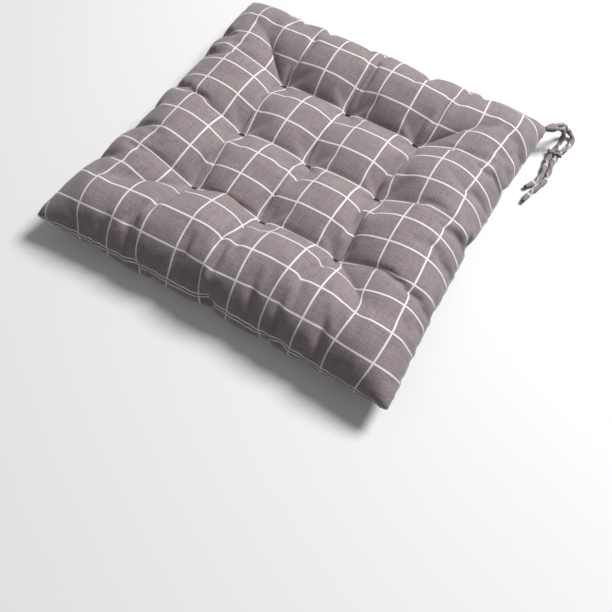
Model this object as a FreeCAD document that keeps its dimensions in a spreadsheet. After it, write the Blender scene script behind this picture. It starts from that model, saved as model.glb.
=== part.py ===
import FreeCAD, Part
import math
import os
import Sketcher
from FreeCAD import Rotation, Vector

# Square tufted chair seat pad, 400 mm from corner tip to corner tip.
# Origin: centre of the pad on the surface it lies on. +X to the right, +Y to the rear
# (the side that is tied to the chair back), +Z up. Millimetres.

doc = FreeCAD.newDocument("SeatPad")

# ---------------------------------------------------------------- driving dimensions
SIZES = [
    ("pad_half", 200, "centre to corner tip, along X and along Y"),
    ("side_pull", 10, "how far the middle of each side draws in at the seam"),
    ("corner_round", 5, "radius of the corner tips at the seam"),
    ("seam_level", 28, "height of the perimeter seam above the floor"),
    ("crown_level", 68, "height of the puffs above the floor"),
    ("cloth", 1.2, "thickness of the woven cover"),
    ("fill_gap", 0.4, "space between the cover and the filling"),
    ("allowance", 8, "seam allowance turned inside along the edge"),
    ("tuft_pitch_x", 84, "distance between tufts, left to right"),
    ("tuft_pitch_y", 89, "distance between tufts, front to rear"),
    ("tuft_top", 30, "height of the cloth at a tuft, top face"),
    ("tuft_under", 12, "height of the cloth at a tuft, underside"),
    ("tuft_seat", 5, "radius of the flat at the bottom of a dimple"),
    ("dimple_top", 36, "radius of a top dimple at the level of the puffs"),
    ("dimple_under", 22, "radius of an underside dimple at the floor"),
    ("strand", 1.2, "diameter of the tufting thread"),
    ("strand_gap", 5, "distance between the two strands of a tuft"),
    ("tuft_bar", 1.5, "diameter of a tuft's thread where it lies across the cloth"),
    ("puncture", 1.8, "diameter of the holes that the strands pass through"),
    ("seam_thread", 0.8, "diameter of the seam thread, both threads of the stitch together"),
    ("seam_channel", 0.9, "diameter of the channel that the seam thread lies in"),
    ("seam_inset", 3, "distance of the stitch line from the edge"),
    ("seam_stop", 12, "distance of the stitch line's end from the corner tip"),
    ("root_reach", 204, "X and Y of the point where the ties start to bend"),
    ("root_start", 197.5, "X and Y of the tie root's inner end"),
    ("root_width", 5, "width of the tie root"),
    ("root_height", 7, "height of the tie root, folded over the corner"),
    ("tack_place", 196.8, "distance of the left bar tack from the centre, X and Y"),
    ("tack_width", 4.4, "diameter of the left bar tack"),
    ("tack_height", 6, "height of the left bar tack"),
    ("string", 5.5, "diameter of a tie string"),
    ("knot_length", 16, "length of the knot"),
    ("knot_width", 12, "width of the knot"),
    ("knot_height", 9, "height of the knot"),
    ("knot_lift", 0.2, "space between the knot and the floor"),
]

sheet = doc.addObject("Spreadsheet::Sheet", "Sizes")
for row, (alias, value, note) in enumerate(SIZES, start=1):
    sheet.set(f"A{row}", note)
    sheet.set(f"B{row}", str(value))
    sheet.setAlias(f"B{row}", alias)
doc.recompute()

NODES = []


def cell(alias):
    """The expression that reads one cell of the sheet."""
    return f"<<Sizes>>.{alias}"


def size(alias):
    """The same cell as a number."""
    return float(sheet.get(alias))


def number(expression):
    """What an expression comes to with the sheet's values."""
    return float(sheet.evalExpression(expression))


def node(label, shape_object):
    """Names a finished sub-part and puts it on the list to be exported."""
    shape_object.Label = label
    NODES.append((label, shape_object))
    return shape_object


def bind(thing, **expressions):
    """Binds properties to expressions; two underscores in a key stand for a dot."""
    for key, expression in expressions.items():
        thing.setExpression(key.replace("__", "."), expression)
    return thing


def boolean(kind, name, base, tool):
    result = doc.addObject(kind, name)
    result.Base = base
    result.Tool = tool
    return result


def fuse(name, pieces):
    result = doc.addObject("Part::MultiFuse", name)
    result.Shapes = pieces
    return result


# ---------------------------------------------------------------- outline of the pad at one height
def outline(name, level, half, pull, corner):
    """A square whose sides are arcs drawn in by `pull`, with rounded corners.

    level, half, pull and corner are expressions.
    """
    sketch = doc.addObject("Sketcher::SketchObject", name)
    bind(sketch, Placement__Base__z=level)
    # The sketch is drawn at its size in the sheet, so that the solver starts where it ends.
    start_half, start_pull, start_corner = (number(text) for text in (half, pull, corner))
    middle = start_half - start_corner
    corners = []
    for quarter in range(4):
        turn = quarter * math.pi / 2
        x_sign = 1 if quarter in (0, 3) else -1
        y_sign = 1 if quarter in (0, 1) else -1
        centre = Vector(x_sign * middle, y_sign * middle, 0)
        circle = Part.Circle(centre, Vector(0, 0, 1), start_corner)
        arc = sketch.addGeometry(Part.ArcOfCircle(circle, turn, turn + math.pi / 2), False)
        corners.append(arc)
        for direction, sign in (("DistanceX", x_sign), ("DistanceY", y_sign)):
            place = Sketcher.Constraint(direction, -1, 1, arc, 3, sign * middle)
            index = sketch.addConstraint(place)
            sketch.setExpression(f"Constraints[{index}]", f"{sign} * ({half} - ({corner}))")
        index = sketch.addConstraint(Sketcher.Constraint("Radius", arc, start_corner))
        sketch.setExpression(f"Constraints[{index}]", corner)
        # The quarter circle starts and ends square to the axes.
        first, last = ("Horizontal", "Vertical") if quarter % 2 == 0 else ("Vertical", "Horizontal")
        sketch.addConstraint(Sketcher.Constraint(first, arc, 3, arc, 1))
        sketch.addConstraint(Sketcher.Constraint(last, arc, 3, arc, 2))
    bow = (middle ** 2 + start_pull ** 2) / (2 * start_pull)
    spread = math.asin(middle / bow)
    for quarter in range(4):
        # The side between this corner and the next: an arc whose centre lies outside the pad.
        turn = quarter * math.pi / 2
        centre = Rotation(Vector(0, 0, 1), math.degrees(turn)).multVec(
            Vector(0, start_half - start_pull + bow, 0))
        circle = Part.Circle(centre, Vector(0, 0, 1), bow)
        lowest = turn + 3 * math.pi / 2
        side = sketch.addGeometry(Part.ArcOfCircle(circle, lowest - spread, lowest + spread), False)
        sketch.addConstraint(Sketcher.Constraint("Coincident", side, 2, corners[quarter], 2))
        sketch.addConstraint(Sketcher.Constraint("Coincident", side, 1, corners[(quarter + 1) % 4], 1))
        index = sketch.addConstraint(Sketcher.Constraint("Radius", side, bow))
        chord = f"({half} - ({corner}))"
        sketch.setExpression(f"Constraints[{index}]", f"({chord} ^ 2 + ({pull}) ^ 2) / (2 * ({pull}))")
    return sketch


# Each half of the pad is a loft from the seam to its flat: level, half width lost since the seam,
# draw-in of the sides as a share of the seam's, and corner radius.
RISE = f"({cell('crown_level')} - {cell('seam_level')})"
UPPER = [
    ("seam", cell("seam_level"), "0", "1", cell("corner_round")),
    ("wall", f"{cell('seam_level')} + 0.25 * {RISE}", "5", "0.85", "9"),
    ("side", f"{cell('seam_level')} + 0.55 * {RISE}", "11", "0.6", "17"),
    ("shoulder", f"{cell('seam_level')} + 0.82 * {RISE}", "24", "0.4", "28"),
    ("crown", cell("crown_level"), "50", "0.2", "42"),
]
LOWER = [
    ("seam", cell("seam_level"), "0", "1", cell("corner_round")),
    ("side", f"0.55 * {cell('seam_level')}", "7", "0.7", "12"),
    ("shoulder", f"0.18 * {cell('seam_level')}", "20", "0.4", "22"),
    ("flat", "0", "38", "0.2", "34"),
]


def half_pillow(name, sections, inset, edge_inset, side):
    """One half of the pad as a lofted solid, shrunk by `inset` and at the seam by `edge_inset`."""
    sketches = []
    last = len(sections) - 1
    for index, (level_name, level, lost, share, corner) in enumerate(sections):
        shrink = edge_inset if index == 0 else inset
        sink = inset if index == last else ("0" if index == 0 else f"0.5 * ({inset})")
        sketches.append(outline(
            f"{name}_{level_name}",
            f"{level} - {side} * ({sink})",
            f"{cell('pad_half')} - {lost} - ({shrink})",
            f"{share} * {cell('side_pull')}",
            f"{corner}",
        ))
    loft = doc.addObject("Part::Loft", name)
    loft.Sections = sketches
    loft.Solid = True
    loft.Ruled = True
    return loft


def dimples(name, upper, inset):
    """Nine cones, one at each tuft, that take the dimples out of a half."""
    cones = []
    for column in (-1, 0, 1):
        for row in (-1, 0, 1):
            cone = doc.addObject("Part::Cone", f"{name}_{column + 2}{row + 2}")
            depth = f"({cell('crown_level')} - {cell('tuft_top')})"
            seat = f"{cell('tuft_seat')} + {inset}"
            if upper:
                # The cone runs on a little above the puffs, so that it cuts clean through.
                flare = f"({cell('dimple_top')} - {cell('tuft_seat')}) * ({depth} + 4) / {depth}"
                bind(cone, Radius1=seat, Radius2=f"{seat} + {flare}")
                bind(cone, Height=f"{depth} + 4 + {inset}")
                bind(cone, Placement__Base__z=f"{cell('tuft_top')} - ({inset})")
            else:
                flare = f"({cell('dimple_under')} - {cell('tuft_seat')})"
                drop = cell("tuft_under")
                bind(cone, Radius1=f"{seat} + {flare} * ({drop} + 2) / {drop}", Radius2=seat)
                bind(cone, Height=f"{drop} + 2 + {inset}")
                bind(cone, Placement__Base__z="-2")
            bind(cone, Placement__Base__x=f"{column} * {cell('tuft_pitch_x')}")
            bind(cone, Placement__Base__y=f"{row} * {cell('tuft_pitch_y')}")
            cones.append(cone)
    return fuse(name, cones)


def layer(name, inset, edge_inset):
    """The upper and the lower half of the pad at one depth below its surface."""
    halves = []
    for part, sections, upper, side in (("upper", UPPER, True, 1), ("lower", LOWER, False, -1)):
        loft = half_pillow(f"{name}_{part}_loft", sections, inset, edge_inset, side)
        cones = dimples(f"{name}_{part}_dimples", upper, inset)
        halves.append(boolean("Part::Cut", f"{name}_{part}", loft, cones))
    return halves


# ---------------------------------------------------------------- thread, ties and what they need cut
def tuft_places():
    """Name, column and row of each tuft: columns left to right, rows front to rear."""
    for row, row_name in ((-1, "front"), (0, "middle"), (1, "rear")):
        for column, column_name in ((-1, "left"), (0, "centre"), (1, "right")):
            yield f"{row_name}_{column_name}", column, row


def rod(name, diameter, length, base, axis=Vector(0, 0, 1)):
    """A straight round rod; base is three expressions for its start."""
    piece = doc.addObject("Part::Cylinder", name)
    bind(piece, Radius=f"({diameter}) / 2", Height=length)
    piece.Placement = FreeCAD.Placement(Vector(), Rotation(Vector(0, 0, 1), axis))
    bind(piece, Placement__Base__x=base[0], Placement__Base__y=base[1], Placement__Base__z=base[2])
    return piece


def tuft(place, column, row):
    """A loop of thread: two strands through the pad, a bar on the top and one underneath."""
    x = f"{column} * {cell('tuft_pitch_x')}"
    y = f"{row} * {cell('tuft_pitch_y')}"
    lift = f"0.6 * {cell('tuft_bar')}"
    top = f"{cell('tuft_top')} + {lift}"
    under = f"{cell('tuft_under')} - {lift}"
    pieces = []
    for side in (-1, 1):
        start = (f"{x} + {side} * {cell('strand_gap')} / 2", y, under)
        pieces.append(rod(f"{place}_strand_{side + 1}", cell("strand"), f"({top}) - ({under})", start))
    for bar, level in (("top", top), ("under", under)):
        length = f"{cell('strand_gap')} + 2 * {cell('strand')}"
        start = (f"{x} - ({length}) / 2", y, level)
        pieces.append(rod(f"{place}_{bar}_bar", cell("tuft_bar"), length, start, Vector(1, 0, 0)))
    return node(f"tuft_stitch_{place}", fuse(f"tuft_{place}", pieces))


def punctures():
    """The holes that the tuft strands pass through, as rods to be cut away."""
    rods = []
    for place, column, row in tuft_places():
        for side in (-1, 1):
            x = f"{column} * {cell('tuft_pitch_x')} + {side} * {cell('strand_gap')} / 2"
            y = f"{row} * {cell('tuft_pitch_y')}"
            start = (x, y, f"{cell('tuft_under')} - 4")
            length = f"{cell('tuft_top')} - {cell('tuft_under')} + 8"
            rods.append(rod(f"hole_{place}_{side + 1}", cell("puncture"), length, start))
    return fuse("punctures", rods)


SIDES = [("front", 0), ("right", 90), ("rear", 180), ("left", 270)]


def seam_line(name, diameter, turn):
    """Part of a ring that follows one side of the seam, `seam_inset` inside the edge."""
    bow = f"((({cell('pad_half')} - {cell('corner_round')}) ^ 2 + {cell('side_pull')} ^ 2)"
    bow += f" / (2 * {cell('side_pull')}))"
    reach = f"({cell('pad_half')} - {cell('seam_stop')})"
    radius = f"({bow} + {cell('seam_inset')})"
    ring = doc.addObject("Part::Torus", name)
    bind(ring, Radius1=radius, Radius2=f"({diameter}) / 2")
    bind(ring, Angle3=f"2 * asin({reach} / {radius})")
    # The ring's centre lies outside the pad, as far out as the side's bow asks.
    away = size("pad_half") - size("side_pull")
    bow_size = ((size("pad_half") - size("corner_round")) ** 2 + size("side_pull") ** 2)
    bow_size = bow_size / (2 * size("side_pull"))
    half_angle = math.degrees(math.asin(
        (size("pad_half") - size("seam_stop")) / (bow_size + size("seam_inset"))))
    spin = Rotation(Vector(0, 0, 1), turn)
    base = spin.multVec(Vector(0, -(away + bow_size), 0))
    ring.Placement = FreeCAD.Placement(base, Rotation(Vector(0, 0, 1), turn + 90 - half_angle))
    bind(ring, Placement__Base__z=cell("seam_level"))
    return ring


def tie_root():
    """Sewn root of the two ties: a strip folded over the rear right corner, round at its end."""
    diagonal = Rotation(Vector(0, 0, 1), 45)
    strip = doc.addObject("Part::Box", "tie_root_strip")
    bind(strip, Length=f"({cell('root_reach')} - {cell('root_start')}) * sqrt(2)")
    bind(strip, Width=cell("root_width"), Height=cell("root_height"))
    strip.Placement = FreeCAD.Placement(Vector(), diagonal)
    aside = f"{cell('root_width')} / 2 * sqrt(0.5)"
    low = f"{cell('seam_level')} - {cell('root_height')} / 2"
    bind(strip, Placement__Base__x=f"{cell('root_start')} + {aside}")
    bind(strip, Placement__Base__y=f"{cell('root_start')} - {aside}")
    bind(strip, Placement__Base__z=low)
    end = (cell("root_reach"), cell("root_reach"), low)
    round_end = rod("tie_root_end", cell("root_width"), cell("root_height"), end)
    return fuse("tie_root", [strip, round_end])


# Routes of the two ties, from the root over the fold to the knot and on along the floor.
TIE_ROUTES = {
    "tie_string_inner": [
        (208.1, 203.9, 28.0), (213.4, 209.2, 28.0), (217.8, 210.8, 21.5), (218.8, 206.6, 13.0),
        (217.2, 199.4, 7.0), (215.4, 190.5, 4.6), (214.6, 178.5, 3.2), (216.8, 164.5, 3.0),
        (217.6, 149.5, 3.0), (213.4, 137.5, 3.0), (207.6, 128.5, 3.0),
    ],
    "tie_string_outer": [
        (203.9, 208.1, 28.0), (209.4, 213.6, 28.0), (213.4, 220.4, 23.0), (216.4, 228.0, 14.5),
        (221.4, 233.2, 6.5), (228.4, 230.6, 3.2), (230.4, 220.4, 3.0), (227.2, 207.4, 3.2),
        (222.2, 195.0, 4.4), (220.8, 181.0, 3.4), (223.2, 166.0, 3.0), (224.4, 150.0, 3.0),
        (220.6, 135.5, 3.0), (214.6, 122.0, 3.0), (213.0, 108.0, 3.0),
    ],
}
# The point of each route that lies inside the knot.
KNOT_AT = {"tie_string_inner": 5, "tie_string_outer": 8}
RUN_SHARE = 0.45  # share of the shorter run that an arc takes up


def string_path(name, route):
    """Straight runs joined by arcs tangent to both, each as large as its runs allow."""
    points = [Vector(*place) for place in route]
    edges, radii = [], []
    start = points[0]
    for before, corner, after in zip(points, points[1:], points[2:]):
        incoming = (corner - before).normalize()
        outgoing = (after - corner).normalize()
        turn = incoming.getAngle(outgoing)
        reach = RUN_SHARE * min(corner.distanceToPoint(before), corner.distanceToPoint(after))
        radius = reach / math.tan(turn / 2)
        radii.append(round(radius, 1))
        enter = corner - incoming * reach
        leave = corner + outgoing * reach
        inward = (outgoing - incoming).normalize()
        middle = corner + inward * (radius / math.cos(turn / 2) - radius)
        edges.append(Part.LineSegment(start, enter).toShape())
        edges.append(Part.Arc(enter, middle, leave).toShape())
        start = leave
    edges.append(Part.LineSegment(start, points[-1]).toShape())
    path = Part.Wire(edges)
    print(f"{name}: length {path.Length:.1f} mm, radii {radii}")
    return path, points[1] - points[0]


def tie_string(name, route):
    path, direction = string_path(name, route)
    ring = Part.Wire(Part.makeCircle(size("string") / 2, Vector(*route[0]), direction))
    tube = path.makePipeShell([ring], True, False)
    expected = path.Length * math.pi * size("string") ** 2 / 4
    if abs(tube.Volume / expected - 1) > 0.01:
        raise RuntimeError(f"{name}: the tube's volume is {tube.Volume:.0f}, not {expected:.0f}")
    piece = doc.addObject("Part::Feature", name)
    piece.Shape = tube
    piece.Placement = FreeCAD.Placement()
    return node(name, piece)


def tie_knot():
    """The knot: an egg of cloth round both strings, lying on the floor."""
    knot = doc.addObject("Part::Ellipsoid", "knot")
    bind(knot, Radius2=f"{cell('knot_length')} / 2", Radius3=f"{cell('knot_width')} / 2")
    bind(knot, Radius1=f"{cell('knot_height')} / 2")
    inner, outer = (Vector(*TIE_ROUTES[name][index]) for name, index in KNOT_AT.items())
    place = (inner + outer) * 0.5
    place.z = size("knot_height") / 2 + size("knot_lift")
    knot.Placement = FreeCAD.Placement(place, Rotation(Vector(0, 0, 1), 12))
    return node("tie_knot", knot)


# ---------------------------------------------------------------- the pad
outside = layer("outside", "0", "0")
cavity = layer("cavity", cell("cloth"), cell("allowance"))
filling = layer("filling", f"({cell('cloth')} + {cell('fill_gap')})",
                f"({cell('allowance')} + {cell('fill_gap')})")

holes = punctures()
channels = fuse("seam_channels", [seam_line(f"channel_{side}", cell("seam_channel"), turn)
                                  for side, turn in SIDES])
root = node("tie_root_tab", tie_root())
tack_base = (f"-{cell('tack_place')}", cell("tack_place"),
             f"{cell('seam_level')} - {cell('tack_height')} / 2")
tack = node("rear_left_bar_tack", rod("left_tack", cell("tack_width"), cell("tack_height"), tack_base))
cuts = fuse("cover_cuts", [holes, channels, root, tack])

for label, outer_half, inner_half in (("cover_top_panel", outside[0], cavity[0]),
                                      ("cover_bottom_panel", outside[1], cavity[1])):
    shell = boolean("Part::Cut", f"{label}_shell", outer_half, inner_half)
    node(label, boolean("Part::Cut", f"{label}_pierced", shell, cuts))

batt = fuse("batt", filling)
batt.Refine = True
node("fiberfill_core", boolean("Part::Cut", "batt_pierced", batt, holes))

for side, turn in SIDES:
    node(f"seam_thread_{side}", seam_line(f"thread_{side}", cell("seam_thread"), turn))
for place, column, row in tuft_places():
    tuft(place, column, row)
for name, route in TIE_ROUTES.items():
    tie_string(name, route)
tie_knot()

# ---------------------------------------------------------------- checks and export
doc.recompute()
for thing in doc.Objects:
    if "Invalid" in thing.State or "Error" in thing.State:
        raise RuntimeError(f"{thing.Name} did not build: {thing.State}")
os.makedirs("parts", exist_ok=True)
for label, piece in NODES:
    shape = piece.Shape
    if shape.isNull() or not shape.isValid() or not shape.Solids:
        raise RuntimeError(f"{label} has no valid solid")
    box = shape.BoundBox
    print(f"{label}: {len(shape.Solids)} solid, {shape.Volume / 1000:.2f} cm3,"
          f" z {box.ZMin:.2f} to {box.ZMax:.2f}")
for label, piece in NODES:
    piece.Shape.exportStep(f"parts/{label}.step")
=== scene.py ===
"""Looks of a square tufted chair seat pad in plaid cloth, with a knotted pair of ties at one corner."""
import math

import bmesh
import bpy
import numpy as np
from mathutils import Matrix, Vector, noise
from mathutils.bvhtree import BVHTree


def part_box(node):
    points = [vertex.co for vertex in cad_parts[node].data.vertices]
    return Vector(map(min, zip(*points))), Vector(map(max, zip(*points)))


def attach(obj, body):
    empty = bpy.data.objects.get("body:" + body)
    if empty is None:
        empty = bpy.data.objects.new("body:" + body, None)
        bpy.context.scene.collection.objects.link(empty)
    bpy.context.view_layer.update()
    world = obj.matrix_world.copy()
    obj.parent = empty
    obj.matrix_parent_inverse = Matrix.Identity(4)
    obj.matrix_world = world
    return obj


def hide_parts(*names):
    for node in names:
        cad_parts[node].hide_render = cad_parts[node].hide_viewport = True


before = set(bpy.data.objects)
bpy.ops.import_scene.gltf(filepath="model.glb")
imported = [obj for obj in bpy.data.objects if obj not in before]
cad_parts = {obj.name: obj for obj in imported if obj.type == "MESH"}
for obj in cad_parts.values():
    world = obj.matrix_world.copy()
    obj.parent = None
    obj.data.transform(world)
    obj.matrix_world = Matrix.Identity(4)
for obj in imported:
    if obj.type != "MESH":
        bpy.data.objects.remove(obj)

bl_info = {
    "name": "Tufted Seat Pad",
    "version": (1, 0, 0),
    "blender": (4, 5, 0),
    "location": "3D View > Sidebar > Seat Pad",
    "description": "Builds a tufted plaid chair seat pad with its seam, tufts and ties",
    "category": "Object",
}

MM = 0.001


def linear(hex_colour):
    """An sRGB hex colour as linear RGBA."""
    channels = [int(hex_colour[i:i + 2], 16) / 255 for i in (1, 3, 5)]
    return tuple(c / 12.92 if c <= 0.04045 else ((c + 0.055) / 1.055) ** 2.4 for c in channels) + (1.0,)


def colour_property(name, description, hex_colour):
    return bpy.props.FloatVectorProperty(
        name=name, description=description, default=linear(hex_colour),
        subtype="COLOR", size=4, min=0.0, max=1.0)


def length_property(name, description, metres):
    return bpy.props.FloatProperty(
        name=name, description=description, default=metres, min=0.0, unit="LENGTH", precision=5)


def number_property(name, description, value, unit="NONE"):
    return bpy.props.FloatProperty(name=name, description=description, default=value, min=0.0, unit=unit)


# The pad's outer sizes come from the loaded frame.
PAD_LOW, PAD_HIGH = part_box("cover_top_panel")
SEAM_LEVEL = PAD_LOW.z
TUFT_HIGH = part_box("tuft_stitch_middle_centre")[1].z
TUFT_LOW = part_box("tuft_stitch_middle_centre")[0].z


class SeatPadCover(bpy.types.PropertyGroup):
    """The two square panels that are sewn together, filled and tufted."""
    cut_side: length_property("Panel side", "Side of each square panel, seam to seam", 0.458)
    half_width: length_property("Half width", "Centre to corner tip of the finished pad", PAD_HIGH.x)
    side_pull: length_property("Side pull", "How far the middle of each side draws in", 0.009)
    seam_sag: length_property("Seam sag", "How much lower the seam is between the corners", 0.005)
    gather: length_property("Gather", "How far the seam draws in where a tuft's fold meets it", 0.011)
    swell: length_property("First swell", "How far the cloth stands off before it is filled", 0.035)
    ease: number_property("Ease", "Share of the cloth taken up by the seam", 0.03)
    tuft_cut: length_property("Tuft spacing in the cloth", "Distance between tufts on the flat panel", 0.09724)
    tuft_x: length_property("Tuft spacing across", "Distance between tufts, left to right", 0.084)
    tuft_y: length_property("Tuft spacing deep", "Distance between tufts, front to rear", 0.089)
    cells: bpy.props.IntProperty(
        name="Cells", description="Grid cells along a panel's side", default=80, min=20)
    pressure: number_property("Filling pressure", "Push of the filling", 60.0)
    seam_hold: number_property("Seam hold", "How firmly the seam keeps its line", 0.6)
    steps: bpy.props.IntProperty(
        name="Steps", description="Steps that the cloth settles for", default=60, min=1)
    across_start: length_property("First line across", "Left seam to the first line of the check", 0.0175)
    across_pitch: length_property("Line pitch across", "Between the lines that run front to rear", 0.040)
    deep_start: length_property("First line deep", "Front seam to the first line of the check", 0.002)
    deep_pitch: length_property("Line pitch deep", "Between the lines that run left to right", 0.0325)
    line_width: length_property("Line width", "Width of the check's lines", 0.0018)
    warp: colour_property("Warp", "Colour of the darker yarn", "#6f6264")
    weft: colour_property("Weft", "Colour of the lighter yarn", "#b2a5a7")
    line: colour_property("Check line", "Colour of the check's lines", "#f7f5f5")


class SeatPadTies(bpy.types.PropertyGroup):
    """The two strings at the rear right corner, their sewn root and their knot."""
    diameter: length_property("String", "Width of a tie string", 0.0055)
    inner_length: length_property("Inner string", "Length of the inner string", 0.107)
    outer_length: length_property("Outer string", "Length of the outer string", 0.172)
    twist: length_property("Twist", "Length of string in which the strip turns once", 0.030)


class SeatPadThread(bpy.types.PropertyGroup):
    """The thread of the seam, the tufts and the bar tack."""
    strand: length_property("Strand", "Diameter of the tufting thread", 0.0012)
    tuft_bar: length_property("Tuft bar", "Length of the thread that lies across a tuft", 0.0072)
    stitch_pitch: length_property("Stitch pitch", "Distance between seam stitches", 0.003)
    stitch: length_property("Stitch thickness", "Diameter of the seam thread", 0.0006)
    colour: colour_property("Thread", "Colour of the sewing thread", "#4a4144")


class SeatPadStage(bpy.types.PropertyGroup):
    """The floor, the lights and the camera."""
    floor_colour: colour_property("Floor", "Colour of the floor", "#f6f6f6")
    key: number_property("Key light", "Power of the main light", 67.0, "POWER")
    fill: number_property("Fill light", "Power of the front light", 0.5, "POWER")
    sky: number_property("Room light", "Strength of the light all round", 0.21)


# ---------------------------------------------------------------- small helpers
def add_node(tree, kind, inputs=None, **settings):
    """Adds a node with its own settings, and links or fills its inputs."""
    made = tree.nodes.new(kind)
    for name, value in settings.items():
        setattr(made, name, value)
    for name, value in (inputs or {}).items():
        if isinstance(value, bpy.types.NodeSocket):
            tree.links.new(value, made.inputs[name])
        else:
            made.inputs[name].default_value = value
    return made


def new_material(name):
    """An empty node material with its output node."""
    material = bpy.data.materials.new(name)
    material.use_nodes = True
    material.node_tree.nodes.clear()
    return material, material.node_tree, material.node_tree.nodes.new("ShaderNodeOutputMaterial")


def mesh_object(name, points, faces, material=None, uv=None, smooth=True):
    """A mesh object at the origin; uv is a list of (u, v) for each corner of each face."""
    mesh = bpy.data.meshes.new(name)
    mesh.from_pydata([tuple(p) for p in points], [], faces)
    if uv is not None:
        layer = mesh.uv_layers.new(name="cloth_place")
        layer.data.foreach_set("uv", np.array(uv, np.float32).ravel())
    mesh.polygons.foreach_set("use_smooth", [smooth] * len(mesh.polygons))
    if material:
        mesh.materials.append(material)
    mesh.update()
    made = bpy.data.objects.new(name, mesh)
    bpy.context.scene.collection.objects.link(made)
    return made


def belongs(piece, body, slot, *nodes):
    """Says which body a piece rides and which nodes of the frame it stands for, and hides those nodes. The slot
    is not used.
    """
    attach(piece, body)
    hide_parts(*nodes)


# ---------------------------------------------------------------- materials
def plaid_cloth(settings):
    """Yarn-dyed cotton and linen plain weave, brushed matt: two taupe yarns with slubs, and a
    window-pane check of white yarns. It gives a dry, almost shineless surface."""
    material, tree, out = new_material("plaid_plain_weave")
    place = add_node(tree, "ShaderNodeUVMap", uv_map="cloth_place")
    split = add_node(tree, "ShaderNodeSeparateXYZ", {0: place.outputs[0]})

    def maths(operation, *values):
        return add_node(tree, "ShaderNodeMath", dict(enumerate(values)), operation=operation).outputs[0]

    def line(axis, start, pitch):
        """1 on a line of the check and 0 off it, across one axis."""
        steps = maths("DIVIDE", maths("SUBTRACT", split.outputs[axis], start - pitch / 2), pitch)
        away = maths("MULTIPLY", maths("ABSOLUTE", maths("SUBTRACT", maths("FRACT", steps), 0.5)), pitch)
        edge = settings.line_width / 2
        return add_node(tree, "ShaderNodeMapRange", {
            0: away, 1: edge - 0.15 * MM, 2: edge + 0.15 * MM, 3: 1.0, 4: 0.0}).outputs[0]

    lines = maths("MAXIMUM", line(0, settings.across_start, settings.across_pitch),
                  line(1, settings.deep_start, settings.deep_pitch))

    # Yarns are 0.5 mm apart in such cloth; they are drawn 1.3 mm apart so that they show.
    yarn = 2 * math.pi / (1.3 * MM)
    over = maths("SINE", maths("MULTIPLY", split.outputs[0], yarn))
    under = maths("SINE", maths("MULTIPLY", split.outputs[1], yarn))
    crossing = maths("MULTIPLY_ADD", maths("MULTIPLY", over, under), 0.5, 0.5)

    def slubs(stretch, seed):
        """Uneven places in the cloth, as many to the metre along each axis as stretch says."""
        scaled = add_node(tree, "ShaderNodeMapping", {0: place.outputs[0], "Scale": stretch})
        lumps = add_node(tree, "ShaderNodeTexNoise", {
            "Vector": scaled.outputs[0], "W": seed, "Scale": 1.0, "Detail": 2.0}, noise_dimensions="4D")
        return add_node(tree, "ShaderNodeMapRange", {0: lumps.outputs[0], 1: 0.3, 2: 0.7}).outputs[0]

    # Slubs are about 1 mm by 12 mm, patches about 33 mm and flecks about 2 mm across.
    long_slub = slubs((1000.0, 80.0, 1.0), 1.5)
    cross_slub = slubs((80.0, 1000.0, 1.0), 7.5)
    patch = slubs((30.0, 30.0, 1.0), 4.0)
    fleck = slubs((520.0, 520.0, 1.0), 12.0)
    mixed = maths("ADD", maths("MULTIPLY", crossing, 0.2), maths("ADD", maths("MULTIPLY", fleck, 0.3),
                  maths("MULTIPLY", maths("ADD", long_slub, cross_slub), 0.25)))
    tone = tree.nodes.new("ShaderNodeMix")
    tone.data_type = "RGBA"
    tree.links.new(mixed, tone.inputs[0])
    tone.inputs[6].default_value = settings.warp
    tone.inputs[7].default_value = settings.weft
    washed = add_node(tree, "ShaderNodeHueSaturation", {
        "Value": maths("MULTIPLY_ADD", patch, 0.14, 0.93), "Color": tone.outputs[2]})
    white = tree.nodes.new("ShaderNodeMix")
    white.data_type = "RGBA"
    tree.links.new(maths("MULTIPLY", lines, maths("MULTIPLY_ADD", crossing, 0.12, 0.86)), white.inputs[0])
    tree.links.new(washed.outputs[0], white.inputs[6])
    white.inputs[7].default_value = settings.line

    thick_yarn = maths("ADD", long_slub, cross_slub)
    height = maths("ADD", maths("MULTIPLY", crossing, 0.7), maths("MULTIPLY", thick_yarn, 0.6))
    bump = add_node(tree, "ShaderNodeBump", {"Strength": 0.5, "Distance": 0.25 * MM, "Height": height})
    shader = add_node(tree, "ShaderNodeBsdfPrincipled", {
        "Base Color": white.outputs[2], "Roughness": 0.92, "Sheen Weight": 0.25, "Sheen Roughness": 0.55,
        "Specular IOR Level": 0.2, "Normal": bump.outputs[0]})
    tree.links.new(shader.outputs[0], out.inputs[0])
    return material


def twisted_thread(settings):
    """Spun polyester sewing thread, twisted: fine slanting ply lines with painted shade in their grooves, and a
    faint sheen.
    """
    material, tree, out = new_material("twisted_sewing_thread")
    place = add_node(tree, "ShaderNodeTexCoord")
    ply = add_node(tree, "ShaderNodeTexWave", {
        "Vector": place.outputs["Object"], "Scale": 1.0 / (1.2 * MM) / math.pi, "Distortion": 1.0},
        bands_direction="DIAGONAL")
    # Painted shade: the thread's own colour darkened to 0.55 in the grooves between the plies, so the ply lines
    # show.
    groove_shade = tuple(c * 0.55 for c in settings.colour[:3]) + (1.0,)
    ramp = add_node(tree, "ShaderNodeValToRGB", {0: ply.outputs[1]})
    ramp.color_ramp.elements[0].color = groove_shade
    ramp.color_ramp.elements[1].color = settings.colour
    bump = add_node(tree, "ShaderNodeBump", {"Strength": 0.6, "Distance": 0.1 * MM, "Height": ply.outputs[1]})
    shader = add_node(tree, "ShaderNodeBsdfPrincipled", {
        "Base Color": ramp.outputs[0], "Roughness": 0.6, "Sheen Weight": 0.2, "Normal": bump.outputs[0]})
    tree.links.new(shader.outputs[0], out.inputs[0])
    return material


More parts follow.
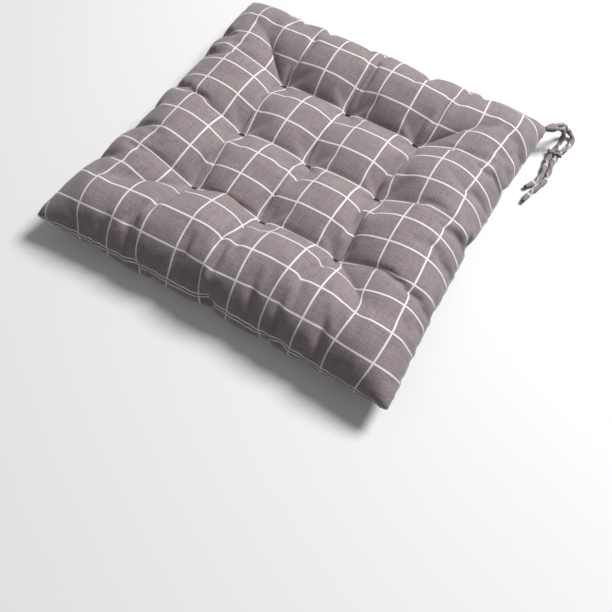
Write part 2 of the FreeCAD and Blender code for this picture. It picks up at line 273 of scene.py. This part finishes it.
def painted_floor(settings):
    """Matt emulsion on board: pale, even, without gloss."""
    material, tree, out = new_material("matt_pale_paint")
    place = add_node(tree, "ShaderNodeTexCoord")
    grain = add_node(tree, "ShaderNodeTexNoise", {"Vector": place.outputs["Object"], "Scale": 400.0})
    bump = add_node(tree, "ShaderNodeBump", {
        "Strength": 0.05, "Distance": 0.1 * MM, "Height": grain.outputs[0]})
    shader = add_node(tree, "ShaderNodeBsdfPrincipled", {
        "Base Color": settings.floor_colour, "Roughness": 0.85, "Specular IOR Level": 0.2,
        "Normal": bump.outputs[0]})
    tree.links.new(shader.outputs[0], out.inputs[0])
    return material


def shared_material(name, maker, settings):
    """The material of that name, made the first time that it is asked for."""
    return bpy.data.materials.get(name) or maker(settings)


def cloth_material():
    return shared_material("plaid_plain_weave", plaid_cloth, bpy.context.scene.seat_pad_cover)


def thread_material():
    return shared_material("twisted_sewing_thread", twisted_thread, bpy.context.scene.seat_pad_thread)


# ---------------------------------------------------------------- stage
class SEATPAD_OT_stage(bpy.types.Operator):
    """Makes the floor, the lights, the room light and the camera"""
    bl_idname = "seatpad.stage"
    bl_label = "Stage"

    def execute(self, context):
        settings = context.scene.seat_pad_stage
        data = bpy.data.cameras.new("stage_camera")
        data.lens, data.sensor_width = 39.47, 36.0
        data.clip_start, data.clip_end = 0.01, 50
        camera = bpy.data.objects.new("stage_camera", data)
        right, up = (0.85865, 0.51100, 0.04005), (-0.46007, 0.73389, 0.49974)
        turn = Matrix((right, up, Vector(right).cross(up))).transposed()
        camera.matrix_world = Matrix.Translation((0.22835, -0.43031, 0.57622)) @ turn.to_4x4()
        context.scene.collection.objects.link(camera)
        context.scene.camera = camera

        side = 6.0
        floor = mesh_object("stage_floor", [(-side, -side, -0.0006), (side, -side, -0.0006),
                                            (side, side, -0.0006), (-side, side, -0.0006)],
                            [(0, 1, 2, 3)], painted_floor(settings))
        lights = [
            ("stage_key", (0.9, 1.3, 1.9), settings.key, 0.9),
            ("stage_fill", (-1.4, -1.2, 1.0), settings.fill, 1.6),
        ]
        # The floor throws no light back up, so the sides stay as dark as on a stack of pads.
        floor.visible_diffuse = False
        for name, place, power, width in lights:
            lamp = bpy.data.lights.new(name, "AREA")
            lamp.shape, lamp.size, lamp.energy = "DISK", width, power
            holder = bpy.data.objects.new(name, lamp)
            aim = (Vector((0, 0, 0.03)) - Vector(place)).to_track_quat("-Z", "Y")
            holder.matrix_world = Matrix.Translation(place) @ aim.to_matrix().to_4x4()
            context.scene.collection.objects.link(holder)
        world = bpy.data.worlds.new("stage_room")
        world.use_nodes = True
        background = world.node_tree.nodes["Background"]
        background.inputs[0].default_value = (1, 1, 1, 1)
        background.inputs[1].default_value = settings.sky
        context.scene.world = world
        context.scene.view_settings.view_transform = "Standard"
        return {"FINISHED"}


# ---------------------------------------------------------------- cover
def sewn_panels(cover):
    """Vertex index, points, faces and cloth places of the two flat panels, joined along their edges."""
    n = cover.cells
    cut = cover.cut_side
    index, points, faces, uv = {}, [], [], []
    for upper in (True, False):
        for j in range(n + 1):
            for i in range(n + 1):
                edge = i in (0, n) or j in (0, n)
                key = (i, j, True if edge else upper)
                if key in index:
                    continue
                u, v = 2 * i / n - 1, 2 * j / n - 1
                index[key] = len(points)
                swell = cover.swell * (1 - u ** 4) * (1 - v ** 4) * (1 if upper else -0.5)
                swell += noise.noise(Vector((u * 3.1, v * 3.1, 5.0))) * 0.002
                x, y = u * (1 - cover.ease * v ** 4) * cut / 2, v * (1 - cover.ease * u ** 4) * cut / 2
                points.append((x, y, SEAM_LEVEL + swell))
        for j in range(n):
            for i in range(n):
                ring = [(i, j), (i + 1, j), (i + 1, j + 1), (i, j + 1)]
                if not upper:
                    ring.reverse()
                face = []
                for a, b in ring:
                    edge = a in (0, n) or b in (0, n)
                    face.append(index[(a, b, True if edge else upper)])
                    uv.append((a * cut / n, b * cut / n))
                faces.append(face)
    return index, points, faces, uv


# How strongly the seam gathers where the fold of each tuft row or column meets it.
GATHERS = {
    "front": (0.3, 1.0, 0.4),
    "rear": (1.0, 0.4, 0.9),
    "left": (0.7, 0.6, 0.8),
    "right": (0.4, 1.0, 0.5),
}


def seam_place(cover, u, v):
    """Where a point of the seam is drawn to; u and v run from -1 to 1 and one of them is at an end."""
    along, side = (u, "front" if v < 0 else "rear") if abs(v) == 1.0 else (v, "left" if u < 0 else "right")
    spacing = cover.tuft_x if side in ("front", "rear") else cover.tuft_y
    place = along * cover.half_width
    inward = cover.side_pull * (1 - along * along)
    level = SEAM_LEVEL - cover.seam_sag * (1 - along ** 4)
    for offset, strength in zip((-spacing, 0.0, spacing), GATHERS[side]):
        fold = strength * math.exp(-((place - offset) / (6 * MM)) ** 2)
        inward += cover.gather * fold
        level += 0.3 * cover.gather * fold
    reach = cover.half_width - inward
    if side in ("front", "rear"):
        return (place, v * reach, level)
    return (u * reach, place, level)


def tuft_grid(cover):
    """Cell places of the nine tufts on the panel grid, with their column and row."""
    step = round(cover.tuft_cut / (cover.cut_side / cover.cells))
    middle = cover.cells // 2
    return [(middle + column * step, middle + row * step, column, row)
            for column in (-1, 0, 1) for row in (-1, 0, 1)]


def settle(cover, pad, held):
    """Fills the flat cover on a flat rest, while the tufts and corner tips are drawn to their places."""
    scene = bpy.context.scene
    pad.shape_key_add(name="flat")
    drawn = pad.shape_key_add(name="drawn")
    group = pad.vertex_groups.new(name="held")
    for vertex, (place, weight) in held.items():
        drawn.data[vertex].co = place
        group.add([vertex], weight, "REPLACE")
    for step, value in ((1, 0.0), (cover.steps // 3, 1.0)):
        drawn.value = value
        drawn.keyframe_insert("value", frame=step)
    side = 2 * cover.half_width
    rest = mesh_object("rest_surface", [(-side, -side, 0), (side, -side, 0), (side, side, 0), (-side, side, 0)],
                       [(0, 1, 2, 3)])
    rest.modifiers.new("rest", "COLLISION")
    rest.collision.thickness_outer = 0.001
    rest.collision.cloth_friction = 2.0
    cloth = pad.modifiers.new("filling", "CLOTH")
    physics = cloth.settings
    physics.quality = 5
    physics.mass = 0.02
    physics.tension_stiffness = 12
    physics.compression_stiffness = 6
    physics.shear_stiffness = 2
    physics.bending_stiffness = 0.02
    physics.use_pressure = True
    physics.uniform_pressure_force = cover.pressure
    physics.effector_weights.gravity = 0
    physics.vertex_group_mass = "held"
    physics.pin_stiffness = 1.0
    cloth.collision_settings.use_collision = True
    cloth.collision_settings.distance_min = 0.001
    cloth.collision_settings.collision_quality = 2
    cloth.point_cache.frame_start = 1
    cloth.point_cache.frame_end = cover.steps
    scene.frame_start, scene.frame_end = 1, cover.steps
    for step in range(1, cover.steps + 1):
        scene.frame_set(step)
    graph = bpy.context.evaluated_depsgraph_get()
    settled = bpy.data.meshes.new_from_object(
        pad.evaluated_get(graph), preserve_all_data_layers=True, depsgraph=graph)
    pad.modifiers.remove(cloth)
    pad.shape_key_clear()
    old = pad.data
    pad.data = settled
    bpy.data.meshes.remove(old)
    bpy.data.objects.remove(rest)
    pad.vertex_groups.clear()


class SEATPAD_OT_cover(bpy.types.Operator):
    """Sews, fills and tufts the cover"""
    bl_idname = "seatpad.cover"
    bl_label = "Cover"

    def execute(self, context):
        cover = context.scene.seat_pad_cover
        index, points, faces, uv = sewn_panels(cover)
        held = {}
        n = cover.cells
        for i, j, column, row in tuft_grid(cover):
            for upper in (True, False):
                level = TUFT_HIGH if upper else TUFT_LOW
                level += -0.0016 if upper else 0.0016
                for side in (-1, 0, 1):
                    vertex = index[(i + side, j, upper)]
                    held[vertex] = ((column * cover.tuft_x + side * 0.0025, row * cover.tuft_y, level), 1.0)
        for i in range(n + 1):
            for j in (range(n + 1) if i in (0, n) else (0, n)):
                u, v = 2 * i / n - 1, 2 * j / n - 1
                tip = abs(u) == abs(v) == 1.0
                held[index[(i, j, True)]] = (seam_place(cover, u, v), 1.0 if tip else cover.seam_hold)
        pad = mesh_object("cover", points, faces, cloth_material(), uv)
        settle(cover, pad, held)
        count = len(pad.data.vertices)
        place = np.empty(count * 3, np.float32)
        pad.data.vertices.foreach_get("co", place)
        place = place.reshape(-1, 3)
        place[:, 2] = np.maximum(place[:, 2], 0.0002)
        pad.data.vertices.foreach_set("co", place.ravel())
        pad.data.update()
        smooth = pad.modifiers.new("smooth", "SUBSURF")
        smooth.levels = smooth.render_levels = 1
        belongs(pad, "pad", "plaid_cloth", "cover_top_panel", "cover_bottom_panel", "fiberfill_core")
        return {"FINISHED"}


# ---------------------------------------------------------------- ties
# The routes of the two strings: the same points as the frame's, in metres.
TIE_ROUTES = {
    "tie_string_inner": [
        (0.2081, 0.2039, 0.0280), (0.2134, 0.2092, 0.0280), (0.2178, 0.2108, 0.0215), (0.2188, 0.2066, 0.0130),
        (0.2172, 0.1994, 0.0070), (0.2154, 0.1905, 0.0046), (0.2146, 0.1785, 0.0032), (0.2168, 0.1645, 0.0030),
        (0.2176, 0.1495, 0.0030), (0.2134, 0.1375, 0.0030), (0.2076, 0.1285, 0.0030),
    ],
    "tie_string_outer": [
        (0.2039, 0.2081, 0.0280), (0.2094, 0.2136, 0.0280), (0.2134, 0.2204, 0.0230), (0.2164, 0.2280, 0.0145),
        (0.2214, 0.2332, 0.0065), (0.2284, 0.2306, 0.0032), (0.2304, 0.2204, 0.0030), (0.2272, 0.2074, 0.0032),
        (0.2222, 0.1950, 0.0044), (0.2208, 0.1810, 0.0034), (0.2232, 0.1660, 0.0030), (0.2244, 0.1500, 0.0030),
        (0.2206, 0.1355, 0.0030), (0.2146, 0.1220, 0.0030), (0.2130, 0.1080, 0.0030),
    ],
}


def guide_line(name, route):
    """Points of the smooth spline that a route's points control, about 1 mm apart."""
    curve = bpy.data.curves.new(name + "_guide", "CURVE")
    curve.dimensions = "3D"
    curve.resolution_u = 16
    spline = curve.splines.new("NURBS")
    spline.points.add(len(route) - 1)
    for point, place in zip(spline.points, route):
        point.co = (*place, 1.0)
    spline.order_u = 3
    spline.use_endpoint_u = True
    holder = bpy.data.objects.new(name + "_guide", curve)
    line = bpy.data.meshes.new_from_object(holder)
    points = np.array([vertex.co for vertex in line.vertices], float)
    bpy.data.meshes.remove(line)
    bpy.data.objects.remove(holder)
    bpy.data.curves.remove(curve)
    return points


def even(points, step):
    """The same line with points a step apart."""
    points = np.array(points, float)
    along = np.concatenate([[0], np.cumsum(np.linalg.norm(np.diff(points, axis=0), axis=1))])
    marks = np.linspace(0, along[-1], max(3, round(along[-1] / step) + 1))
    return np.stack([np.interp(marks, along, points[:, axis]) for axis in range(3)], axis=1)


def strip_section(width, thickness, corners=20):
    """Outline of a narrow strip of folded cloth: flattened, with a stitched ridge along one edge."""
    outline = []
    for k in range(corners):
        turn = 2 * math.pi * k / corners
        flat = 1.0 + 0.10 * math.cos(2 * turn)
        stitched = 0.16 * math.exp(-((turn - 0.35) / 0.16) ** 2)
        folded = 0.05 * math.exp(-((turn - 0.02) / 0.2) ** 2)
        ridge = 1.0 - stitched + folded
        outline.append((math.cos(turn) * width / 2 * flat * ridge, math.sin(turn) * thickness / 2 * ridge))
    return outline


def swept_strip(name, line, width, thickness, turns, material, taper=None, start_normal=(0, 0, 1)):
    """A twisted strip of cloth along a line; its cloth places run round it and along it."""
    section = strip_section(width, thickness)
    ring = len(section)
    points, uv, faces = [], [], []
    along = np.concatenate([[0], np.cumsum(np.linalg.norm(np.diff(line, axis=0), axis=1))])
    tangents = np.gradient(line, axis=0)
    normal = Vector(start_normal)
    for k, place in enumerate(line):
        ahead = Vector(tangents[k]).normalized()
        normal = (normal - ahead * normal.dot(ahead)).normalized()
        side = ahead.cross(normal)
        turn = 2 * math.pi * turns * along[k] / along[-1]
        crease = 1.0 + 0.05 * noise.noise(Vector((along[k] * 260, width * 900, 2.0)))
        shrink = crease * (taper(along[k] / along[-1]) if taper else 1.0)
        for a, b in section:
            x = (a * math.cos(turn) - b * math.sin(turn)) * shrink
            y = (a * math.sin(turn) + b * math.cos(turn)) * shrink
            point = Vector(place) + side * x + normal * y
            point.z = max(point.z, 0.1 * MM)
            points.append(point)
    girth = sum(math.dist(section[k], section[k - 1]) for k in range(ring))
    for k in range(len(line) - 1):
        for i in range(ring):
            j = (i + 1) % ring
            faces.append((k * ring + i, k * ring + j, (k + 1) * ring + j, (k + 1) * ring + i))
            for where, at in ((i, k), (i + 1, k), (i + 1, k + 1), (i, k + 1)):
                uv.append((where / ring * girth, along[at] + 0.005))
    for end, out in ((0, -0.4 * MM), (len(line) - 1, 0.4 * MM)):
        middle = len(points)
        points.append(Vector(line[end]) + Vector(tangents[end]).normalized() * out)
        for i in range(ring):
            j = (i + 1) % ring
            faces.append((middle, end * ring + i, end * ring + j))
            uv.extend([(0.0, along[end]), (i / ring * girth, along[end]), (j / ring * girth, along[end])])
    made = mesh_object(name, points, faces, material, uv)
    face_outwards(made)
    return made


def face_outwards(made):
    """Merges doubled points and turns every face outwards."""
    shape = bmesh.new()
    shape.from_mesh(made.data)
    bmesh.ops.remove_doubles(shape, verts=shape.verts, dist=0.01 * MM)
    bmesh.ops.recalc_face_normals(shape, faces=shape.faces)
    shape.to_mesh(made.data)
    shape.free()


def string_taper(share):
    """A string's thickness along it: pinched where it is sewn in, and closed at its tip."""
    pinch = 0.7 + 0.3 * min(1.0, share / 0.06)
    return pinch if share < 0.985 else 1.0 - 12 * (share - 0.985)


def joined(name, parts):
    """One mesh object made of several."""
    shape = bmesh.new()
    for part in parts:
        shape.from_mesh(part.data)
    mesh = bpy.data.meshes.new(name)
    shape.to_mesh(mesh)
    shape.free()
    for material in parts[0].data.materials:
        mesh.materials.append(material)
    for part in parts:
        bpy.data.objects.remove(part)
    made = bpy.data.objects.new(name, mesh)
    bpy.context.scene.collection.objects.link(made)
    return made


class SEATPAD_OT_knot(bpy.types.Operator):
    """Makes the knot that holds the two strings together"""
    bl_idname = "seatpad.knot"
    bl_label = "Knot"

    def execute(self, context):
        ties = context.scene.seat_pad_ties
        low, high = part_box("tie_knot")
        centre = (low + high) / 2
        reach = (high - low) / 2
        thick = ties.diameter * 0.72
        turned = Matrix.Rotation(math.radians(12), 3, "Z")
        # An overhand knot: one turn round both strings that slants across its own start.
        wraps = {
            # name: turns, place along the knot at the start and at the end, angle at the start
            "knot_wrap": (1.22, -3.4 * MM, 3.4 * MM, 0.0),
            "knot_cross": (0.86, 3.0 * MM, -2.6 * MM, math.pi * 0.9),
        }
        made = []
        for name, (turns, start, end, phase) in wraps.items():
            line = []
            for share in np.linspace(0, 1, 90):
                angle = phase + 2 * math.pi * turns * share
                swell = 1.0 + 0.07 * math.sin(angle * 2 + 0.6)
                across = (reach.x - thick * 0.52) * math.cos(angle) * swell
                up = (reach.z - thick * 0.50) * math.sin(angle)
                line.append(centre + turned @ Vector((across, start + (end - start) * share, up)))
            made.append(swept_strip(name, even(line, 0.6 * MM), thick * 1.15, thick * 0.92, 0.5,
                                    cloth_material(), start_normal=(0, 1, 0)))
        knot = joined("tie_knot_wrap", made)
        belongs(knot, "tie", "plaid_cloth", "tie_knot")
        return {"FINISHED"}


class SEATPAD_OT_ties(bpy.types.Operator):
    """Makes the two tie strings, from the sewn root through the knot to their ends"""
    bl_idname = "seatpad.ties"
    bl_label = "Tie strings"

    def execute(self, context):
        ties = context.scene.seat_pad_ties
        lengths = {"tie_string_inner": ties.inner_length, "tie_string_outer": ties.outer_length}
        for name, route in TIE_ROUTES.items():
            line = guide_line(name, route)
            string = swept_strip(
                name.replace("string", "strip"), line, ties.diameter * 1.06, ties.diameter * 0.88,
                lengths[name] / ties.twist, cloth_material(), taper=string_taper)
            belongs(string, "tie", "plaid_cloth", name)
        return {"FINISHED"}


class SEATPAD_OT_root_tab(bpy.types.Operator):
    """Makes the folded strip at the rear right corner that both strings grow from"""
    bl_idname = "seatpad.root_tab"
    bl_label = "Tie root"

    def execute(self, context):
        low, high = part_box("tie_root_tab")
        width, height = 10.5 * MM, high.z - low.z
        ahead = Vector((1, 1, 0)).normalized()
        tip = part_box("cover_top_panel")[1]
        start = Vector((tip.x - 2.8 * MM, tip.y - 2.8 * MM, SEAM_LEVEL))
        reach = (high.xy - start.xy).length
        across = Vector((-1, 1, 0)).normalized()
        ring, rows = 28, 26
        points, uv, faces = [], [], []
        for k in range(rows + 1):
            share = k / rows
            # The fold is narrow where the seam bites it, and opens to take in both strings.
            open_by = 0.45 + 0.55 * math.sin(min(1.0, share * 1.2) * math.pi / 2)
            round_off = math.sqrt(max(0.0, 1 - max(0.0, (share - 0.78) / 0.22) ** 2.2)) * 0.9 + 0.1
            for i in range(ring):
                turn = 2 * math.pi * i / ring
                a = math.copysign(abs(math.cos(turn)) ** 0.6, math.cos(turn)) * width / 2
                a *= open_by * round_off
                b = math.copysign(abs(math.sin(turn)) ** 0.8, math.sin(turn)) * height / 2
                b *= (0.6 + 0.5 * open_by) * (0.55 + 0.45 * round_off)
                lip = 0.25 * MM * math.sin(share * 34) * math.cos(turn)
                points.append(start + ahead * (reach * share) + across * (a + lip) + Vector((0, 0, b)))
        girth = 1.4 * (width + height)
        for k in range(rows):
            for i in range(ring):
                j = (i + 1) % ring
                faces.append((k * ring + i, k * ring + j, (k + 1) * ring + j, (k + 1) * ring + i))
                for where, at in ((i, k), (i + 1, k), (i + 1, k + 1), (i, k + 1)):
                    uv.append((where / ring * girth + 0.004, at / rows * reach + 0.012))
        for end in (0, rows):
            faces.append([end * ring + i for i in range(ring)])
            uv.extend([(0.004, 0.012)] * ring)
        tab = mesh_object("tie_root_fold", points, faces, cloth_material(), uv)
        face_outwards(tab)
        belongs(tab, "pad", "plaid_cloth", "tie_root_tab")
        return {"FINISHED"}


# ---------------------------------------------------------------- thread, laid by Geometry Nodes
def stitch_tree(name):
    """Sets one stitch, an arched bit of thread, on every point.

    A point carries its stitch's direction in the attribute "lie" and the way out of the cloth in "up".
    """
    tree = bpy.data.node_groups.new(name, "GeometryNodeTree")
    sockets = tree.interface
    sockets.new_socket("Geometry", in_out="INPUT", socket_type="NodeSocketGeometry")
    for label, default in (("Length", 0.0022), ("Thickness", 0.0006), ("Arch", 0.0003)):
        socket = sockets.new_socket(label, in_out="INPUT", socket_type="NodeSocketFloat")
        socket.default_value, socket.subtype = default, "DISTANCE"
    sockets.new_socket("Thread", in_out="INPUT", socket_type="NodeSocketMaterial")
    sockets.new_socket("Geometry", in_out="OUTPUT", socket_type="NodeSocketGeometry")
    given = tree.nodes.new("NodeGroupInput")
    result = tree.nodes.new("NodeGroupOutput")

    half = add_node(tree, "ShaderNodeMath", {0: given.outputs["Length"], 1: 0.5}, operation="MULTIPLY")
    back = add_node(tree, "ShaderNodeMath", {0: half.outputs[0], 1: -1.0}, operation="MULTIPLY")
    start = add_node(tree, "ShaderNodeCombineXYZ", {0: back.outputs[0]})
    end = add_node(tree, "ShaderNodeCombineXYZ", {0: half.outputs[0]})
    rise = add_node(tree, "ShaderNodeMath", {0: given.outputs["Arch"], 1: 2.0}, operation="MULTIPLY")
    middle = add_node(tree, "ShaderNodeCombineXYZ", {2: rise.outputs[0]})
    arch = add_node(tree, "GeometryNodeCurveQuadraticBezier", {
        "Resolution": 6, "Start": start.outputs[0], "Middle": middle.outputs[0], "End": end.outputs[0]})
    radius = add_node(tree, "ShaderNodeMath", {0: given.outputs["Thickness"], 1: 0.5}, operation="MULTIPLY")
    round_line = add_node(tree, "GeometryNodeCurvePrimitiveCircle", {
        "Resolution": 6, "Radius": radius.outputs[0]})
    thread = add_node(tree, "GeometryNodeCurveToMesh", {
        "Curve": arch.outputs[0], "Profile Curve": round_line.outputs[0], "Fill Caps": True})
    lie = add_node(tree, "GeometryNodeInputNamedAttribute", {"Name": "lie"}, data_type="FLOAT_VECTOR")
    up = add_node(tree, "GeometryNodeInputNamedAttribute", {"Name": "up"}, data_type="FLOAT_VECTOR")
    along = add_node(tree, "FunctionNodeAlignRotationToVector", {"Vector": lie.outputs[0]}, axis="X")
    upright = add_node(tree, "FunctionNodeAlignRotationToVector", {
        "Rotation": along.outputs[0], "Vector": up.outputs[0]}, axis="Z", pivot_axis="X")
    placed = add_node(tree, "GeometryNodeInstanceOnPoints", {
        "Points": given.outputs["Geometry"], "Instance": thread.outputs[0], "Rotation": upright.outputs[0]})
    real = add_node(tree, "GeometryNodeRealizeInstances", {0: placed.outputs[0]})
    smooth = add_node(tree, "GeometryNodeSetShadeSmooth", {0: real.outputs[0]})
    painted = add_node(tree, "GeometryNodeSetMaterial", {
        0: smooth.outputs[0], "Material": given.outputs["Thread"]})
    tree.links.new(painted.outputs[0], result.inputs[0])
    return tree


def lay_stitches(name, places, length, thickness, arch):
    """A plain mesh of stitches; places holds a point, a direction and an upward direction for each."""
    tree = bpy.data.node_groups.get("thread_stitches") or stitch_tree("thread_stitches")
    mesh = bpy.data.meshes.new(name)
    mesh.from_pydata([tuple(place) for place, _, _ in places], [], [])
    for label, column in (("lie", 1), ("up", 2)):
        layer = mesh.attributes.new(label, "FLOAT_VECTOR", "POINT")
        layer.data.foreach_set("vector", np.array([tuple(row[column]) for row in places], np.float32).ravel())
    holder = bpy.data.objects.new(name + "_points", mesh)
    bpy.context.scene.collection.objects.link(holder)
    modifier = holder.modifiers.new("stitches", "NODES")
    modifier.node_group = tree
    sockets = {item.name: item.identifier for item in tree.interface.items_tree
               if item.item_type == "SOCKET" and item.in_out == "INPUT"}
    modifier[sockets["Length"]] = length
    modifier[sockets["Thickness"]] = thickness
    modifier[sockets["Arch"]] = arch
    modifier[sockets["Thread"]] = thread_material()
    graph = bpy.context.evaluated_depsgraph_get()
    laid = bpy.data.meshes.new_from_object(holder.evaluated_get(graph), depsgraph=graph)
    laid.name = name
    holder.modifiers.remove(modifier)
    bpy.data.objects.remove(holder)
    bpy.data.meshes.remove(mesh)
    if not laid.polygons:
        raise RuntimeError(f"{name} has no stitches")
    made = bpy.data.objects.new(name, laid)
    bpy.context.scene.collection.objects.link(made)
    return made


def cover_surface():
    """A tree for finding the finished cover's surface."""
    return BVHTree.FromObject(bpy.data.objects["cover"], bpy.context.evaluated_depsgraph_get())


def seam_line(cover, side):
    """Points of the cover along one side of its seam, from corner tip to corner tip."""
    index = sewn_panels(cover)[0]
    n = cover.cells
    cells = {
        "front": [(i, 0) for i in range(n + 1)],
        "right": [(n, j) for j in range(n + 1)],
        "rear": [(i, n) for i in range(n + 1)],
        "left": [(0, j) for j in range(n + 1)],
    }[side]
    cage = bpy.data.objects["cover"].data.vertices
    return [tuple(cage[index[(i, j, True)]].co) for i, j in cells]


class SEATPAD_OT_seam(bpy.types.Operator):
    """Lays the stitches of the seam along the four sides"""
    bl_idname = "seatpad.seam"
    bl_label = "Seam stitches"

    def execute(self, context):
        thread = context.scene.seat_pad_thread
        surface = cover_surface()
        outwards = {"front": (0, -1, 0), "right": (1, 0, 0), "rear": (0, 1, 0), "left": (-1, 0, 0)}
        for side, outward in outwards.items():
            line = even(seam_line(context.scene.seat_pad_cover, side), thread.stitch_pitch)
            outward = Vector(outward)
            places = []
            for k in range(3, len(line) - 3):
                ahead = (Vector(line[k + 1]) - Vector(line[k - 1])).normalized()
                # A stitch sits in the crease, so it starts at the surface nearest to the seam.
                near = surface.find_nearest(Vector(line[k]))[0]
                places.append((near + outward * 0.05 * MM, ahead, outward))
            row = lay_stitches(
                f"seam_stitches_{side}", places, thread.stitch_pitch * 0.72, thread.stitch, 0.2 * MM)
            belongs(row, "pad", "sewing_thread", f"seam_thread_{side}")
        return {"FINISHED"}


class SEATPAD_OT_tufts(bpy.types.Operator):
    """Lays the thread of the nine tufts, on the top and underneath"""
    bl_idname = "seatpad.tufts"
    bl_label = "Tuft threads"

    def execute(self, context):
        thread, cover = context.scene.seat_pad_thread, context.scene.seat_pad_cover
        surface = cover_surface()
        rows = {-1: "front", 0: "middle", 1: "rear"}
        columns = {-1: "left", 0: "centre", 1: "right"}
        for _, _, column, row in tuft_grid(cover):
            places = []
            x, y = column * cover.tuft_x, row * cover.tuft_y
            for upper in (True, False):
                up = Vector((0, 0, 1 if upper else -1))
                for strand in (-1, 1):
                    start = Vector((x, y + strand * 0.45 * thread.strand, 0.15 if upper else -0.05))
                    hit = surface.ray_cast(start, -up)[0] or Vector((x, y, TUFT_HIGH if upper else TUFT_LOW))
                    place = Vector((start.x, start.y, hit.z)) + up * 0.1 * MM
                    places.append((place, Vector((1, 0.10 * strand, 0)), up))
            name = f"{rows[row]}_{columns[column]}"
            tuft = lay_stitches(f"tuft_thread_{name}", places, thread.tuft_bar, thread.strand, 0.5 * MM)
            belongs(tuft, "pad", "sewing_thread", f"tuft_stitch_{name}")
        return {"FINISHED"}


class SEATPAD_OT_bar_tack(bpy.types.Operator):
    """Lays the bar tack at the rear left corner"""
    bl_idname = "seatpad.bar_tack"
    bl_label = "Bar tack"

    def execute(self, context):
        thread = context.scene.seat_pad_thread
        low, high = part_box("rear_left_bar_tack")
        inward = Vector((1, -1, 0)).normalized()
        # The cloth's own tip is a little rounder than the sharp one of the frame.
        centre = (low + high) / 2 + inward * 3 * MM
        along = Vector((1, 1, 0)).normalized()
        places = []
        surface = cover_surface()
        for k in range(11):
            offset = (k / 10 - 0.5) * (high.x - low.x)
            for up in (Vector((0, 0, 1)), Vector((0, 0, -1))):
                start = centre + inward * offset + up * 0.06
                hit = surface.ray_cast(start, -up)[0]
                if hit is None:
                    hit = centre + inward * offset + up * (high.z - low.z) / 2
                places.append((hit + up * 0.1 * MM, along, up))
        tack = lay_stitches("bar_tack_rear_left", places, high.x - low.x, thread.stitch * 0.9, 0.3 * MM)
        belongs(tack, "pad", "sewing_thread", "rear_left_bar_tack")
        return {"FINISHED"}


# ---------------------------------------------------------------- panel and running
class SEATPAD_PT_panel(bpy.types.Panel):
    bl_label = "Seat Pad"
    bl_idname = "SEATPAD_PT_panel"
    bl_space_type = "VIEW_3D"
    bl_region_type = "UI"
    bl_category = "Seat Pad"

    def draw(self, context):
        for group in GROUPS:
            settings = getattr(context.scene, group)
            box = self.layout.box()
            for name in settings.bl_rna.properties.keys():
                if name not in ("rna_type", "name"):
                    box.prop(settings, name)
        for operator in OPERATORS:
            self.layout.operator(operator.bl_idname)


GROUPS = {
    "seat_pad_cover": SeatPadCover,
    "seat_pad_ties": SeatPadTies,
    "seat_pad_thread": SeatPadThread,
    "seat_pad_stage": SeatPadStage,
}
OPERATORS = [SEATPAD_OT_stage, SEATPAD_OT_knot, SEATPAD_OT_ties, SEATPAD_OT_root_tab, SEATPAD_OT_cover,
             SEATPAD_OT_seam, SEATPAD_OT_tufts, SEATPAD_OT_bar_tack]


def register():
    for group, kind in GROUPS.items():
        bpy.utils.register_class(kind)
        setattr(bpy.types.Scene, group, bpy.props.PointerProperty(type=kind))
    for kind in OPERATORS + [SEATPAD_PT_panel]:
        bpy.utils.register_class(kind)


def unregister():
    for kind in reversed(OPERATORS + [SEATPAD_PT_panel]):
        bpy.utils.unregister_class(kind)
    for group, kind in GROUPS.items():
        delattr(bpy.types.Scene, group)
        bpy.utils.unregister_class(kind)


def main():
    """Builds every piece."""
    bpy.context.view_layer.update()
    register()
    bpy.ops.seatpad.stage()
    bpy.ops.seatpad.knot()
    bpy.ops.seatpad.ties()
    bpy.ops.seatpad.root_tab()
    bpy.ops.seatpad.cover()
    bpy.ops.seatpad.seam()
    bpy.ops.seatpad.tufts()
    bpy.ops.seatpad.bar_tack()


if __name__ == "__main__":
    main()
